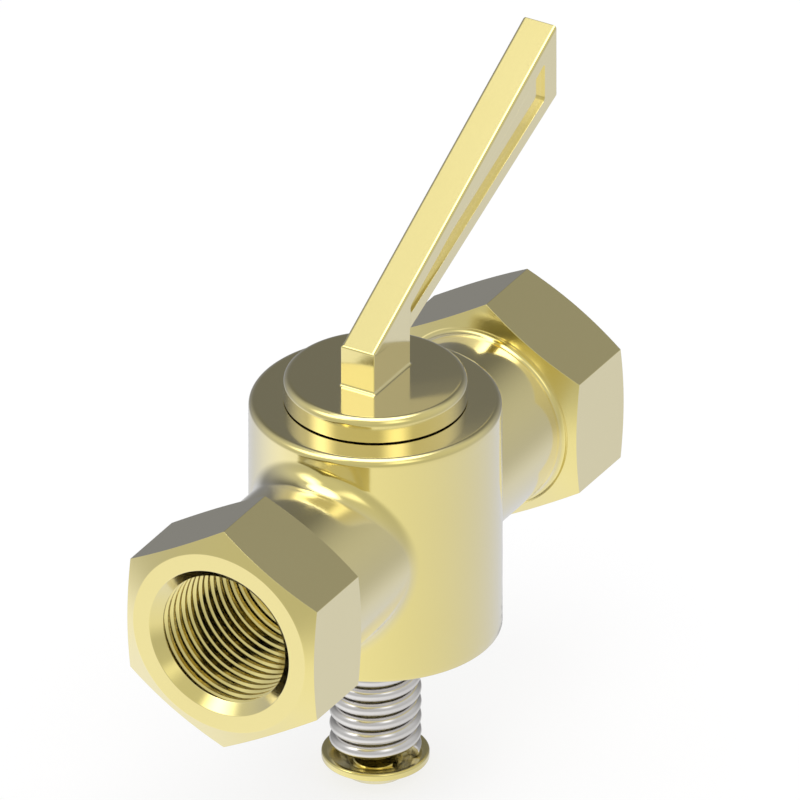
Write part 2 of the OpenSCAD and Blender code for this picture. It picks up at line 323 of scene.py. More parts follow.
brassLook = {
    "colour": (0.87, 0.752, 0.285),
    "toneColour": (0.86, 0.74, 0.272),
    # the lighter colour of the painted edge sheen
    "edgeSheenColour": (0.91, 0.82, 0.42),
    "slantColour": (0.98, 0.98, 1.0),
    "slantBlend": 0.5,
    "slantPower": 1.6,
    "slantAmount": 0.95,
    "mirroredPaleness": 0.1,
    "grainSize": 2600.0,
    "cloudSize": 55.0,
    "grainRange": (0.3, 0.7),
    "cloudRange": (0.35, 0.75),
    "grainHeight": 0.00002,
    "edgeSheenWidth": 0.00035,
    "edgeSheenAmount": 1.2,
    "roughLow": 0.10,
    "roughHigh": 0.14,
    "grainStrength": 0.05,
}
plugBrassLook = dict(brassLook, roughLow=0.085, roughHigh=0.12)
cupBrassLook = dict(brassLook, slantAmount=0.5, roughLow=0.14, roughHigh=0.18)
springSteelLook = dict(
    brassLook, colour=(0.79, 0.77, 0.75), toneColour=(0.75, 0.73, 0.71), edgeSheenColour=(0.85, 0.85, 0.85),
    slantAmount=0.4, roughLow=0.17, roughHigh=0.21, grainSize=1800.0, edgeSheenAmount=0.0, grainStrength=0.01)
plateSteelLook = dict(springSteelLook, colour=(0.55, 0.55, 0.56), edgeSheenAmount=1.0)

bodyBrass = polishedMetal("polishedBodyBrass", brassLook)
plugBrass = polishedMetal("polishedPlugBrass", plugBrassLook)
cupBrass = polishedMetal("polishedCupBrass", cupBrassLook)
springSteel = polishedMetal("springWireSteel", springSteelLook)
plateSteel = polishedMetal("zincPlatedSteel", plateSteelLook)
print("finishes made")


# valve body: barrel, necks, hexagons and threaded ports

valveBody = {
    "halfLength": 50.8,
    "hexFlats": 35.0,
    "hexLength": 16.4,
    "hexCornerRound": 0.06,
    "hexEdgeRound": 0.04,
    "faceRimR": 16.1,
    "faceRound": 0.25,
    "chamferAngle": 20.0,
    "neckR": 15.15,
    "neckFillet": 0.85,
    "blendR": 3.4,
    "blendSteps": 20,
    "barrelR": 20.65,
    "barrelTop": 20.6,
    "barrelBottom": -20.8,
    "barrelEdge": 1.2,
    "bottomEdge": 0.2,
    "edgeShare": 0.9999,
    "barrelShares": (1.0, 0.86, 0.72, 0.58, 0.45, 0.33, 0.22, 0.12, 0.05, 0.012),  # in to the blend
    "taperR": 13.05,
    "taperAngle": 2.8,
    "slotWidth": 10.0,
    "slotHeight": 17.0,
    "boreSteps": 18,
    "portR": 11.45,
    "portEnd": 23.35,
    "leadIn": 1.65,
    "leadEdge": 0.12,
    "threadPitch": 1.86,
    "threadPhase": 0.2,
    "threadDepth": 0.8,
    "threadForm": ((0.0, 0.0), (0.36, 0.0), (0.608, 1.0), (0.752, 1.0)),  # (share of a turn, of the depth)
    "threadFade": 0.5,
    "cornerMiddle": 0.6,
    "cornerSupport": 0.2,
    "bearingFrom": 1.2,
    "bearingStep": 1.8,
    "bearingSteps": 16,
}


def cornerArc(v):
    # where the round of a hexagon's corner has its centre, and how many degrees it takes up each side
    cornerAt = (v["hexFlats"] / 2 - v["hexCornerRound"]) / cosDeg(30)
    rise = cornerAt + v["hexCornerRound"] * cosDeg(30)
    return cornerAt, math.degrees(math.atan2(v["hexCornerRound"] / 2, rise))


def hexRadius(a, v):
    # distance from the pipe's axis to a hexagon with its corners up and down
    off = abs((a - 90 + 30) % 60 - 30)
    cornerAt, arcEnd = cornerArc(v)
    if off < arcEnd:
        return cornerAt * cosDeg(off) + math.sqrt(v["hexCornerRound"] ** 2 - (cornerAt * sinDeg(off)) ** 2)
    return v["hexFlats"] / 2 / cosDeg(30 - off)


def pipeBearings(v):
    # bearings round the pipe, closer together at the hexagon's corners
    arcEnd = cornerArc(v)[1]
    offsets = [0.0, arcEnd * v["cornerMiddle"], arcEnd, arcEnd + v["cornerSupport"]]
    offsets += [v["bearingFrom"] + v["bearingStep"] * k for k in range(v["bearingSteps"])] + [30.0]
    sector = sorted(set(offsets + [60 - o for o in offsets]))[:-1]
    return sorted((90 + 60 * s + o) % 360 for s in range(6) for o in sector)


ringBearings = pipeBearings(valveBody)
print("bearings round the pipe:", len(ringBearings))


def aboutPipe(x, r, a):
    return (x, r * cosDeg(a), r * sinDeg(a))


def slotPoint(a, width, height):
    # where a bearing meets the outline of an upright slot with round ends
    half, rise = width / 2, (height - width) / 2
    if abs(half * tanDeg(a)) <= rise:
        reach = half / abs(cosDeg(a))
    else:
        up = rise * abs(sinDeg(a))
        reach = up + math.sqrt(up ** 2 + half ** 2 - rise ** 2)
    return reach * cosDeg(a), reach * sinDeg(a)


def upright(bearings, halfWidth, low, high):
    # bearings round the pipe spread evenly over the border of an upright half shell:
    # gives (bearing round the plug, height) for each, and the corners' places in the list
    cornerAngles = [math.degrees(math.atan2(v, u)) % 360 for u, v in (
        (halfWidth, high), (-halfWidth, high), (-halfWidth, low), (halfWidth, low))]
    marks = [min(range(len(bearings)), key=lambda k: abs(bearings[k] - c)) for c in cornerAngles]
    spots = ((90, high), (-90, high), (-90, low), (90, low))
    border = [None] * len(bearings)
    for k in range(4):
        start, stop = marks[k], marks[(k + 1) % 4]
        count = (stop - start) % len(bearings)
        for s in range(count):
            share = s / count
            (b0, z0), (b1, z1) = spots[k], spots[(k + 1) % 4]
            border[(start + s) % len(bearings)] = (mix(b0, b1, share), mix(z0, z1, share))
    return border, marks


def shellRings(inner, border, radiusAt, shares):
    # rings from a hole's edge to the half shell's border; both are (bearing, height) lists
    rings = []
    for share in shares:
        ring = []
        for (b0, z0), (b1, z1) in zip(inner, border):
            b, z = mix(b0, b1, share), mix(z0, z1, share)
            r = radiusAt(z)
            ring.append((r * cosDeg(b), r * sinDeg(b), z))
        rings.append(ring)
    return rings


def threadSkin(shape, v, bearings):
    # the helical thread as a sheared grid, one row for each point of the form in every turn. It starts
    # early turns before the port's end, where what lies outside the port is laid flat on its border.
    form, pitch = v["threadForm"], v["threadPitch"]
    rows, early = len(form), 2
    mouth = v["halfLength"] - v["leadIn"]
    turns = math.ceil((mouth - v["portEnd"]) / pitch) + early
    grid = []
    for j in range(turns * rows + 1):
        at, depth = form[j % rows]
        row = []
        for a in bearings:
            x = v["portEnd"] + pitch * (j // rows + at - early + a / 360 + v["threadPhase"])
            x = min(mouth, max(v["portEnd"], x))
            fade = smoothStep(0.0, v["threadFade"], min(x - v["portEnd"], mouth - x))
            row.append(aboutPipe(x, v["portR"] + v["threadDepth"] * depth * fade, a))
        grid.append(addRing(shape, row))
    last = len(bearings) - 1
    for j in range(len(grid) - 1):
        for i in range(last):
            shape["faces"].append((grid[j][i], grid[j][i + 1], grid[j + 1][i + 1], grid[j + 1][i]))
        if j + rows + 1 < len(grid):
            shape["faces"].append(
                (grid[j][last], grid[j + rows][0], grid[j + rows + 1][0], grid[j + 1][last]))


def boreR(v, z):
    return v["taperR"] - (v["barrelTop"] - z) * tanDeg(v["taperAngle"])


def bodyHalf(v):
    # everything on the outlet's side of the plug's axis; the inlet's side is the same, turned half round
    shape = newShape()
    bearings = ringBearings
    ballFromPipe = v["neckR"] + v["blendR"]
    ballFromPlug = v["barrelR"] + v["blendR"]
    topStart = v["barrelTop"] - v["barrelEdge"]
    bottomStart = v["barrelBottom"] + v["bottomEdge"]

    # blend: a ball rolled along the corner between neck and barrel
    def blendPoint(a, share):
        y, z = ballFromPipe * cosDeg(a), ballFromPipe * sinDeg(a)
        x = math.sqrt(ballFromPlug ** 2 - y ** 2)
        toNeck = Vector((0, -cosDeg(a), -sinDeg(a)))
        toBarrel = Vector((-x, -y, 0)) / ballFromPlug
        swing = math.acos(max(-1.0, min(1.0, toNeck.dot(toBarrel))))
        way = (toNeck * math.sin((1 - share) * swing) + toBarrel * math.sin(share * swing)) / math.sin(swing)
        return tuple(Vector((x, y, z)) + way * v["blendR"])

    steps = v["blendSteps"]
    blendRings = [[blendPoint(a, 1 - k / steps) for a in bearings] for k in range(steps + 1)]
    holeEdge = [(math.degrees(math.asin(ballFromPipe * cosDeg(a) / ballFromPlug)),
                 ballFromPipe * sinDeg(a)) for a in bearings]
    halfWidth = v["barrelR"] * math.pi / 2
    outerBorder, marks = upright(bearings, halfWidth, bottomStart, topStart)
    outerRings = shellRings(holeEdge, outerBorder, lambda z: v["barrelR"], v["barrelShares"])

    # neck, hexagon and end face, as one profile for each bearing
    hexInner = v["halfLength"] - v["hexLength"]
    mouth = v["halfLength"] - v["leadIn"]
    profiles = []
    for a, neckStart in zip(bearings, blendRings[-1]):
        hexR = hexRadius(a, v)
        drop = (hexR - v["faceRimR"]) * tanDeg(v["chamferAngle"])
        profiles.append(roundProfile([
            (neckStart[0], v["neckR"], 0, 0),
            (hexInner, v["neckR"], v["neckFillet"], 10),
            (hexInner, v["faceRimR"], v["faceRound"], 2),
            (hexInner + drop, hexR, v["hexEdgeRound"], 4),
            (v["halfLength"] - drop, hexR, v["hexEdgeRound"], 4),
            (v["halfLength"], v["faceRimR"], v["faceRound"], 2),
            (v["halfLength"], v["portR"] + v["leadIn"], v["leadEdge"], 4),
            (mouth, v["portR"], 0, 0),
        ])[1:])
    skinRings = [[aboutPipe(p[k][0], p[k][1], a) for p, a in zip(profiles, bearings)]
                 for k in range(len(profiles[0]))]
    addRings(shape, outerRings + blendRings + skinRings)
    threadSkin(shape, v, bearings)

    # the port's end wall, the flow slot and the tapered bore
    def slotRing(x=None):
        ring = []
        for a in bearings:
            y, z = slotPoint(a, v["slotWidth"], v["slotHeight"])
            ring.append((x if x is not None else math.sqrt(boreR(v, z) ** 2 - y ** 2), y, z))
        return ring

    zOf = {bottomStart: v["barrelBottom"], topStart: v["barrelTop"]}
    innerBorder = [(b, zOf.get(z, z)) for b, z in outerBorder]
    slotEdge = [(math.degrees(math.asin(y / math.sqrt(x ** 2 + y ** 2))), z) for x, y, z in slotRing()]
    wallRings = [[aboutPipe(v["portEnd"], v["portR"], a) for a in bearings], slotRing(v["portEnd"])]
    # narrow steps, so that the flats between them stay clear of the plug as it turns
    boreShares = [0.0, 0.02] + [k / v["boreSteps"] for k in range(1, v["boreSteps"] + 1)]
    innerRings = shellRings(slotEdge, innerBorder, lambda z: boreR(v, z), boreShares)
    addRings(shape, wallRings + innerRings)

    # the barrel's top and bottom, over the stretch of bearings between two corners of the outer border.
    # edgeShare keeps the arcs a hair short of their full radius, so that they don't run past the border.
    def cap(first, last, profile):
        count = (last - first) % len(bearings)
        across = [outerBorder[(first + s) % len(bearings)][0] for s in range(count)]
        across.append(-across[0])
        addRings(shape, [turnedRing(r, z, across) for r, z in profile], closed=False)

    cap(marks[0], marks[1], roundProfile([
        (v["barrelR"], topStart, 0, 0),
        (v["barrelR"], v["barrelTop"], v["barrelEdge"] * v["edgeShare"], 10),
        (v["taperR"], v["barrelTop"], 0, 0)]))
    cap(marks[2], marks[3], roundProfile([
        (v["barrelR"], bottomStart, 0, 0),
        (v["barrelR"], v["barrelBottom"], v["bottomEdge"] * v["edgeShare"], 3),
        (boreR(v, v["barrelBottom"]), v["barrelBottom"], 0, 0)]))
    return shape


def bothHalves(half):
    whole = newShape()
    for turn in (1, -1):
        start = len(whole["points"])
        whole["points"] += [(turn * x, turn * y, z) for x, y, z in half["points"]]
        whole["faces"] += [tuple(start + k for k in f) for f in half["faces"]]
    return whole


finishPiece("valveBody", bothHalves(bodyHalf(valveBody)), "valve_body", bodyBrass,
            ("valve_body",))


# plug: head, lever, taper with its slot, square and stem

plugShape = {
    "headBase": 20.85,
    "headTop": 25.0,
    "headR": 15.0,
    "headEdge": 1.25,
    "headUnderEdge": 0.03,
    "headFlat": 0.3,
    "taperR": 13.0,
    "taperAngle": 2.8,
    "taperTopZ": 20.6,
    "taperEnd": -20.0,
    "slotWidth": 10.0,
    "slotHeight": 17.0,
    "taperShares": (1.0, 0.8, 0.62, 0.46, 0.3, 0.16, 0.05, 0.0),  # rings from the border in to the slot
    "keyFlats": 9.0,
    "keyCorner": 0.4,
    "keyEnd": -22.3,
    "stemR": 3.7,
    "stemEdge": 0.2,
    "stemEnd": -47.0,
    "stemBearings": 48,
    "screwHoleR": 2.0,
    "screwHoleTop": -39.0,
    "screwHoleMiddle": 0.02,
    "bearings": 144,
}
leverShape = {
    "thickness": 6.25,
    "footLength": 11.7,
    "noseTop": 32.4,
    "throat": 31.6,
    "reach": 53.5,
    "topAngle": 28.5,
    "underAngle": 22.85,
    "topRound": 0.5,
    "crispEdge": 0.1,
    "tipEdge": 0.2,
    "tipSupports": (4, 1.2),  # sections before the tip, counted back in tip edges
    "edgeSupport": 0.05,
    "throatRound": 0.12,
    "footFillet": 0.5,
    "footSupport": 0.06,
    "climbFrom": 0.55,
    "climbShort": 0.3,
    "blankStrip": (0.42, 0.52),  # where the pocket's borders run in the foot, which has no pocket
    "pocketDepth": 0.85,
    "pocketStart": 6.0,
    "pocketEnd": 49.6,
    "lowRim": 2.6,
    "highRim": 3.05,
    "pocketRim": 0.03,
    "pocketSupport": 0.05,
    "pocketCorner": 0.5,
    "cornerMiddle": 0.7,
    "pocketEndHalf": 0.3,
    "barSteps": 8,
}


def edgeDepths(lever):
    # (distance from the pocket's border, depth) down one wall of the pocket, from outside to its floor
    depth, rim, beside = lever["pocketDepth"], lever["pocketRim"], lever["pocketSupport"]
    path = [(-rim - beside, 0.0), (-rim, 0.0)]
    path += [(-rim + rim * sinDeg(b), rim * (1 - cosDeg(b))) for b in (30, 60, 90)]
    path += [(0.0, rim + beside), (0.0, depth - beside), (0.0, depth), (beside, depth)]
    return path


def leverRing(section, w, grow, lever):
    # one closed ring round the lever, w to each side of its middle, or less by the section's inset.
    # section: the top edge's point, outward normal and radius, the under edge's point and normal, the
    # pocket's two border points, how deep it may be here, and the inset. grow widens the rounded edges.
    top, topOut, topEdge, under, underOut, pocketHigh, pocketLow, allowed, inset = section
    w = w - inset
    edge, beside = lever["crispEdge"] + grow, lever["edgeSupport"]
    topEdge = topEdge + grow
    half = []
    for y in (0.0, (w - topEdge) * 0.5, w - topEdge - beside):
        half.append((top, y))
    for a in range(0, 91, 10):
        half.append((top - topOut * topEdge * (1 - cosDeg(a)), w - topEdge + topEdge * sinDeg(a)))
    topSide, underSide = top - topOut * topEdge, under - underOut * edge
    along = (underSide - topSide).normalized()
    half.append((topSide + along * beside, w))
    walls = edgeDepths(lever)
    for distance, depth in walls:
        half.append((pocketHigh + along * distance, w - min(depth, allowed)))
    half.append(((pocketHigh + pocketLow) / 2, w - min(lever["pocketDepth"], allowed)))
    for distance, depth in reversed(walls):
        half.append((pocketLow - along * distance, w - min(depth, allowed)))
    half.append((underSide - along * beside, w))
    for a in range(90, -1, -15):
        half.append((under - underOut * edge * (1 - cosDeg(a)), w - edge + edge * sinDeg(a)))
    for y in (w - edge - beside, (w - edge) * 0.5, 0.0):
        half.append((under, y))
    ring = [(p[0], y, p[1]) for p, y in half]
    ring += [(p[0], -y, p[1]) for p, y in reversed(half[1:-1])]
    return ring


def leverSections(lever):
    # the lever as a list of sections from the foot up to the tip
    nose, heel = -lever["footLength"] / 2, lever["footLength"] / 2
    reach, headTop = lever["reach"], plugShape["headTop"]
    upSlope, underSlope = tanDeg(lever["topAngle"]), tanDeg(lever["underAngle"])

    def topZ(x):
        return lever["noseTop"] + (x - nose) * upSlope

    def underZ(x):
        return lever["throat"] + (x - heel) * underSlope

    underOut = Vector((sinDeg(lever["underAngle"]), -cosDeg(lever["underAngle"])))
    footLow = headTop + lever["footFillet"]
    sections = []

    def section(top, lean, under, uOut, allowed=0.0, shift=0.0, inset=None):
        # lean: degrees from the slope's normal to the normal here, towards the tip. shift: how much
        # narrower the pocket is here, at each border. With an inset the section is upright
        # throughout, so that the tip's face is flat.
        swing = lean - lever["topAngle"]
        tOut = Vector((sinDeg(swing), cosDeg(swing)))
        if inset is not None:
            tOut = Vector((0, 1 / cosDeg(lever["topAngle"])))
        topEdge = max(lever["crispEdge"], lever["topRound"] * (1 - sinDeg(min(90, abs(lean)))))
        top, under = Vector(top), Vector(under)
        line = under - top
        length = line.length
        line = line / length
        if top[0] >= heel:
            high, low = lever["highRim"] + shift, length - lever["lowRim"] - shift
        else:
            high, low = (length * share for share in lever["blankStrip"])
        pocket = (top + line * high, top + line * low, allowed)
        sections.append((top, tOut, topEdge, under, Vector(uOut), *pocket, inset or 0.0))

    def arcShare(k, arc):
        # how far round its corner a point of a rounded profile is; its two ends are straight
        return min(1.0, max(0.0, (k - 1) / (len(arc) - 3)))

    # rounded corners of the side view: the nose's top and the throat
    noseLean = lever["topAngle"] - 90
    ahead = 5  # far enough along the slope for a corner's second side
    noseArc = roundProfile([(nose, footLow, 0, 0), (nose, lever["noseTop"], lever["topRound"], 9),
                            (nose + ahead, topZ(nose + ahead), 0, 0)])[2:-2]
    throatArc = roundProfile([(heel, footLow, 0, 0), (heel, lever["throat"], lever["throatRound"], 6),
                              (heel + ahead, underZ(heel + ahead), 0, 0)])[2:-2]
    for z in (footLow, footLow + lever["footSupport"], mix(footLow, lever["throat"], 0.5)):
        section((nose, z), noseLean, (heel, z), (1, 0))
    # while the sections' upper ends go round the nose, their lower ends climb the heel
    climbFrom = mix(footLow, lever["throat"], lever["climbFrom"])
    climbTo = throatArc[0][1] - lever["climbShort"]
    for k in range(len(noseArc)):
        lean = mix(noseLean, 0, arcShare(k, noseArc))
        height = mix(climbFrom, climbTo, k / (len(noseArc) - 1))
        section(noseArc[k], lean, (heel, height), (1, 0))
    startX = noseArc[-1][0]
    endX = throatArc[-1][0]
    for k in range(len(throatArc)):
        out = Vector((1, 0)).lerp(underOut, arcShare(k, throatArc)).normalized()
        x = mix(startX, endX, (k + 1) / len(throatArc))
        section((x, topZ(x)), 0, throatArc[k], out)
    # bar: upright sections, crowded at the pocket's two ends, where its corners are rounded
    walls = edgeDepths(lever)
    corner, start, end = lever["pocketCorner"], lever["pocketStart"], lever["pocketEnd"]
    deep, steps = lever["pocketDepth"], lever["barSteps"]

    def bar(x, allowed):
        inside = min(x - start, end - x)
        short = max(0.0, corner - max(0.0, inside))
        shift = corner - math.sqrt(max(0.0, corner ** 2 - short ** 2))
        room = topZ(x) - lever["highRim"] - underZ(x) - lever["lowRim"]
        shift = min(shift, max(0.0, room / 2 - lever["pocketEndHalf"]))
        section((x, topZ(x)), 0, (x, underZ(x)), underOut, allowed, shift)

    # the throat is too close for the first wall point at the pocket's start
    for distance, depth in walls[1:]:
        bar(start + distance, depth)
    bar(start + lever["cornerMiddle"] * corner, deep)
    bar(start + corner, deep)
    for k in range(1, steps):
        bar(mix(start + corner, end - corner, k / steps), deep)
    bar(end - corner, deep)
    bar(end - lever["cornerMiddle"] * corner, deep)
    for distance, depth in reversed(walls):
        bar(end - distance, depth)
    # the tip: a small round leads over to its end face
    crisp = lever["tipEdge"]
    far, near = (reach - crisp * share for share in lever["tipSupports"])
    bar(far, 0)
    section((near, topZ(near)), 0, (near, underZ(near)), (0, -1), inset=0.0)
    for b in (0, 30, 60, 90):
        x = reach - crisp * (1 - sinDeg(b))
        inset = crisp * (1 - cosDeg(b))
        section((x, topZ(x) - inset), 0, (x, underZ(x) + inset), (0, -1), inset=inset)
    return sections


def closeAcross(shape, ring):
    # a flat end: strips from one side of a ring to the other. The first and last one also hold the
    # ring's point in the middle plane.
    half = len(ring) // 2
    shape["faces"].append((ring[0], ring[1], ring[2], ring[-2], ring[-1]))
    for k in range(2, half - 2):
        shape["faces"].append((ring[k], ring[k + 1], ring[-k - 1], ring[-k]))
    shape["faces"].append((ring[half - 2], ring[half - 1], ring[half], ring[half + 1], ring[half + 2]))


def plugMesh(v, lever):
    shape = newShape()
    sections = leverSections(lever)
    w = lever["thickness"] / 2
    first, end = addRings(shape, [leverRing(s, w, 0, lever) for s in sections])
    closeAcross(shape, end)

    # the fillet where the foot stands on the head
    fillet = lever["footFillet"]
    nose, heel = -lever["footLength"] / 2, lever["footLength"] / 2
    last = first
    spread = [(fillet * (1 - cosDeg(a)), fillet * (1 - sinDeg(a))) for a in (15, 30, 45, 60, 75, 90)]
    spread.append((fillet + lever["edgeSupport"], 0.0))
    for out, above in spread:
        z = v["headTop"] + above
        top, under = Vector((nose - out, z)), Vector((heel + out, z))
        high, low = (top.lerp(under, share) for share in lever["blankStrip"])
        foot = (top, Vector((-1, 0)), lever["crispEdge"], under, Vector((1, 0)), high, low, 0, 0)
        ring = addRing(shape, leverRing(foot, w + out, out, lever))
        joinRings(shape, last, ring)
        last = ring

    # the round head
    around = [360 * k / v["bearings"] - 180 for k in range(v["bearings"])]
    profile = roundProfile([
        (v["headR"] - v["headEdge"] - v["headFlat"], v["headTop"], 0, 0),
        (v["headR"], v["headTop"], v["headEdge"], 12),
        (v["headR"], v["headBase"], v["headUnderEdge"], 3),
        (v["taperR"] + v["headFlat"], v["headBase"], 0, 0)])
    headFirst, headLast = turnedShape(shape, profile, around)
    zipFlat(shape, last, headFirst)

    # the taper, with the slot through it
    def taperR(z):
        return v["taperR"] - (v["taperTopZ"] - z) * tanDeg(v["taperAngle"])

    bearings = ringBearings[::2]
    border = upright(bearings, taperR(0) * math.pi / 2, v["taperEnd"], v["headBase"])[0]
    topRing, bottomRing, slotRings = [], [], []
    for side in (1, -1):
        slotEdge = []
        for a in bearings:
            y, z = slotPoint(a, v["slotWidth"], v["slotHeight"])
            slotEdge.append((math.degrees(math.asin(y / taperR(z))), z))
        skin = shellRings(slotEdge, border, taperR, v["taperShares"])
        skin = [[(side * x, y, z) for x, y, z in ring] for ring in skin]
        first, last = addRings(shape, skin)
        slotRings.append(last)
        for k, place in enumerate(border):
            if place[1] == v["headBase"]:
                topRing.append(first[k])
            if place[1] == v["taperEnd"]:
                bottomRing.append(first[k])
    joinRings(shape, slotRings[0], slotRings[1])

    def bearingOf(k):
        return math.atan2(shape["points"][k][1], shape["points"][k][0])

    def onceEach(ring, apart=1e-5):
        # the two half shells meet at the same points, and one of each is enough for a zip
        kept = []
        for k in sorted(ring, key=bearingOf):
            if not kept or bearingOf(k) - bearingOf(kept[-1]) > apart:
                kept.append(k)
        return kept

    zipFlat(shape, headLast, onceEach(topRing))

    # the square that turns the washer, the stem and the screw's hole
    half, corner, square = v["keyFlats"] / 2, v["keyCorner"], []
    for quarter in range(4):
        for y in (-half + corner, -half / 2, 0, half / 2, half - corner):
            c, s = cosDeg(90 * quarter), sinDeg(90 * quarter)
            square.append((half * c - y * s, half * s + y * c))
    keyTop = addRing(shape, [(x, y, v["taperEnd"]) for x, y in square])
    keyLow = addRing(shape, [(x, y, v["keyEnd"]) for x, y in square])
    joinRings(shape, keyTop, keyLow)
    zipFlat(shape, onceEach(bottomRing), keyTop)
    few = [360 * k / v["stemBearings"] - 180 for k in range(v["stemBearings"])]
    stemFirst, stemLast = turnedShape(shape, [
        (v["stemR"], v["keyEnd"]),
        (v["stemR"], v["stemEnd"] + v["stemEdge"]),
        (v["stemR"] - v["stemEdge"], v["stemEnd"]),
        (v["screwHoleR"], v["stemEnd"]),
        (v["screwHoleR"], v["screwHoleTop"]),
        (v["screwHoleMiddle"], v["screwHoleTop"])], few)
    zipFlat(shape, keyLow, stemFirst)
    shape["faces"].append(tuple(stemLast))
    return shape


finishPiece("plugWithLever", plugMesh(plugShape, leverShape), "plug_group", plugBrass,
            ("plug",))


# spring

springShape = {
    "meanR": 6.325,
    "wireR": 1.175,
    "pitch": 2.7,
    "lowZ": -44.3,
    "highZ": -23.625,
    "lowBearing": -80.0,
    "sides": 20,
    "stepsPerTurn": 60,
    "endRound": 0.25,
    "endSupport": 1.2,
}


def springMesh(v):
    shape = newShape()
    turns = (v["highZ"] - v["lowZ"]) / v["pitch"]
    steps = round(turns * v["stepsPerTurn"])
    slope = math.atan2(v["pitch"], 2 * math.pi * v["meanR"])

    def wireRing(turn, r):
        a = v["lowBearing"] + 360 * turn
        z = v["lowZ"] + v["pitch"] * turn
        out = Vector((cosDeg(a), sinDeg(a), 0))
        along = Vector((-sinDeg(a) * math.cos(slope), cosDeg(a) * math.cos(slope), math.sin(slope)))
        up = along.cross(out)
        return [tuple(out * v["meanR"] + Vector((0, 0, z)) + out * (r * cosDeg(b)) - up * (r * sinDeg(b)))
                for b in (360 * k / v["sides"] for k in range(v["sides"]))]

    # the wire's two ends are rounded off: how far along it each ring is, and how much smaller
    perMillimetre = 1 / (2 * math.pi * v["meanR"])
    ends = [(v["endRound"] * (1 - cosDeg(b)), v["endRound"] * (1 - sinDeg(b))) for b in (0, 30, 60, 90)]
    margin = v["endRound"] * v["endSupport"] * perMillimetre
    rings = [wireRing(along * perMillimetre, v["wireR"] - inset) for along, inset in ends]
    rings += [wireRing(mix(margin, turns - margin, k / steps), v["wireR"]) for k in range(steps + 1)]
    rings += [wireRing(turns - along * perMillimetre, v["wireR"] - inset) for along, inset in reversed(ends)]
    first, last = addRings(shape, rings)
    shape["faces"] += [tuple(first), tuple(last)]
    return shape


finishPiece("coilSpring", springMesh(springShape), "plug_group", springSteel,
            ("spring",))


# spring cup

cupShape = {
    "top": -45.0,
    "outerR": 8.8,
    "rim": 1.4,
    "rimEdge": 0.35,
    "rimTopEdge": 0.343,
    "mouthR": 7.95,
    "mouthRound": 0.12,
    "seatEndR": 5.7375,
    "seatEndZ": -45.7617,
    "bowlR": 4.4,
    "bowlFloor": -47.0,
    "bowlRound": 0.5,
    "base": -48.9,
    "bossR": 5.1,
    "bossRound": 0.35,
    "bossTopR": 7.25,
    "bossTopRound": 0.3,
    "holeR": 2.0,
    "sinkR": 3.35,
    "sinkRound": 0.05,
    "bearings": 128,
}


def cupMesh(v):
    # a lathe-turned ring: its profile starts at the hole's upper edge and ends there
    shape = newShape()
    around = [360 * k / v["bearings"] for k in range(v["bearings"])]
    rimBase = v["top"] - v["rim"]
    profile = roundProfile([
        (v["holeR"], v["bowlFloor"], 0, 0),
        (v["bowlR"], v["bowlFloor"], v["bowlRound"], 6),
        (v["seatEndR"], v["seatEndZ"], v["bowlRound"], 5),
        (v["mouthR"], v["top"], v["mouthRound"], 3),
        (v["outerR"], v["top"], v["rimTopEdge"], 6),
        (v["outerR"], rimBase, v["rimEdge"], 6),
        (v["bossTopR"], rimBase, v["bossTopRound"], 5),
        (v["bossR"], v["base"], v["bossRound"], 5),
        (v["sinkR"], v["base"], v["sinkRound"], 2),
        (v["holeR"], v["base"] + v["sinkR"] - v["holeR"], 0, 0),
        (v["holeR"], v["bowlFloor"], 0, 0)])
    turnedShape(shape, profile, around)
    return shape


finishPiece("springCup", cupMesh(cupShape), "plug_group", cupBrass, ("spring_cup",))


# washer and screw keep their CAD shapes

for node, slotName in (("thrust_washer", "washer_steel"), ("retaining_screw", "screw_steel")):
    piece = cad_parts[node]
    piece.data.materials.clear()
    piece.data.materials.append(plateSteel)
print("washer and screw dressed")


# studio

# What the metal mirrors. Azimuths and elevations are seen from the valve, and a shade of 1 is white.
studio = {
    "floorZ": -0.0489,
    "floorSize": 3.0,
    "floorGlow": 0.75,
    "floorColour": (0.92, 0.92, 0.92),
    "skyColour": (0.985, 0.98, 1.0),
    "tentR": 3.0,
    "tentColumns": 144,
    "tentRows": 120,
    "tentPole": 89.9,
    "floorPale": 1.01,
    "floorDim": 0.68,
    # a painted shadow: the mirrored floor's one even shade straight below the valve
    "floorUnderShadow": 0.85,
    "floorUnderShadowEdge": (-75, -45),
    "floorDimFrom": (140, 370),
    "floorPaleFrom": (58, 120),
    "horizon": (-32, -8),
    "wallLow": 0.58,
    "wallHigh": 0.65,
    "wallRise": (-5, 30),
    "cardShade": 0.175,
    "cardAzimuth": 30,
    "cardEdge": (22, 85),
    "cardTop": (44, 62),
    "cardFoot": 0.85,
    "cardRise": (0, 25),
    "topLamp": 3.0,
    "topLampEdge": (62.0, 74.0),
    "leftBox": 1.6,
    "leftBoxHigh": 1.45,
    "leftBoxRise": (30, 52),
    "leftBoxAzimuth": 138,
    "leftBoxLean": 8,
    "leftBoxEdge": (0, 25),
    "leftBoxWiden": 12,
    "leftBoxFoot": (15, 42),
    "rightBox": 0.78,
    "rightBoxAzimuth": -124,
    "rightBoxEdge": (2, 24),
    "rightBoxFoot": (13, 28),
    "rightBoxTop": (35, 62),
    "rightBoxTopShare": 0.5,
}
overheadBox = {
    "towards": (-0.10, -0.15, 0.98),
    "distance": 0.55,
    "sizeX": 0.34,
    "sizeY": 0.34,
    "radiance": 2.2,
}


